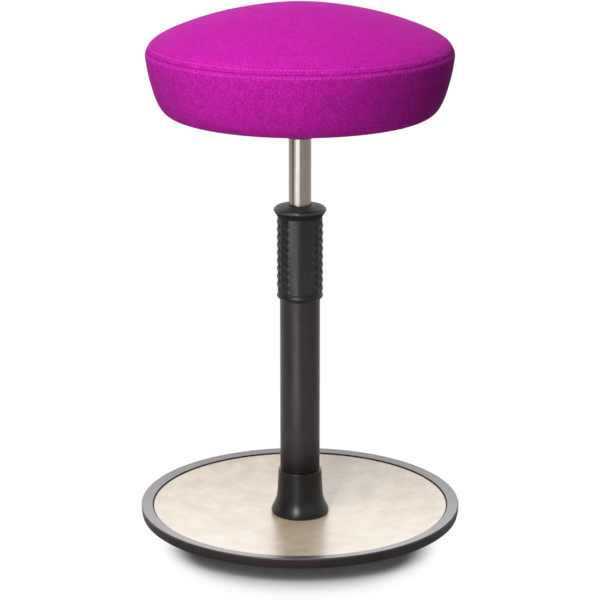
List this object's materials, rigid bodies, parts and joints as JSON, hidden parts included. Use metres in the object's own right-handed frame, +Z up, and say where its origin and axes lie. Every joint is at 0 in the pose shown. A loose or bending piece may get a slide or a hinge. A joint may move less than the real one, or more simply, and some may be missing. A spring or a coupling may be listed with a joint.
{
  "type": "sit-stand stool",
  "caption": "Round domed upholstered stool on a gas spring that turns and slides in a tube, with a rocking dished base, rubber rim, grip sleeve and release lever.",
  "frame": {"origin": "centre of the floor contact, on the column axis", "axes": "+Z up along the column, -Y to the front of the picture, +X to the release lever"},
  "size_m": [0.4042, 0.4042, 0.667],
  "materials": {
    "seat_fabric": "woven felt, magenta melange",
    "foam": "open cell foam",
    "lining": "black non-woven",
    "plywood": "birch plywood",
    "polished_steel": "brushed",
    "zinc_steel": "zinc plated",
    "black_steel": "powder coat",
    "tube_coat": "satin anthracite powder coat",
    "black_rubber": "moulded",
    "rim": "smooth moulded polyurethane",
    "deck": "pressed fibre board, pale, satin varnish",
    "plastic": "moulded",
    "aluminium": "turned"
  },
  "bodies": {
    "base": {"centre_pad": "black_rubber", "rocker_sole": "black_rubber", "base_dish": "black_steel", "edge_ring": "rim", "deck_insert": "deck", "foot_flange": "black_steel", "flange_screws": "zinc_steel", "foot_boot": "black_rubber", "column_tube": "tube_coat", "guide_bush": "plastic", "grip_sleeve": "black_rubber", "lower_race": "zinc_steel"},
    "rod": {"upper_race": "zinc_steel", "ball_cage": "plastic", "bearing_balls": "zinc_steel", "retaining_clip": "zinc_steel", "rubber_buffer": "black_rubber", "piston_rod": "zinc_steel", "piston": "aluminium", "piston_seal": "black_rubber", "piston_nut": "zinc_steel"},
    "seat": {"gas_cylinder": "polished_steel", "rod_guide": "plastic", "valve_body": "aluminium", "taper_hub": "black_steel", "seat_plate": "black_steel", "plate_screws": "zinc_steel", "t_nuts": "zinc_steel", "lever_bracket": "black_steel", "lever_pin": "zinc_steel", "seat_board": "plywood", "dust_cover": "lining", "staples": "zinc_steel", "foam_core": "foam", "cover_top_panel": "seat_fabric", "cover_side_band": "seat_fabric"},
    "lever": {"release_lever": "black_steel", "lever_grip": "plastic"},
    "valve": {"valve_pin": "zinc_steel"}
  },
  "joints": [
    {"name": "swivel", "type": "hinge", "parent": "base", "child": "rod", "pos_m": [0, 0, 0.0664], "axis": [0, 0, 1], "continuous": true},
    {"name": "height", "type": "slide", "parent": "rod", "child": "seat", "axis": [0, 0, 1], "range_m": [-0.08, 0.168]},
    {"name": "lever_turn", "type": "hinge", "parent": "seat", "child": "lever", "pos_m": [0.03, 0, 0.5428], "axis": [0, -1, 0], "range_deg": [0, 4], "stiffness_Nm_per_rad": 12, "springref_deg": -2.86},
    {"name": "valve_press", "type": "slide", "parent": "seat", "child": "valve", "axis": [0, 0, 1], "range_m": [-0.0025, 0]}
  ],
  "couplings": [
    {"joint": "valve_press", "follows": "lever_turn", "m_per_rad": -0.03}
  ]
}
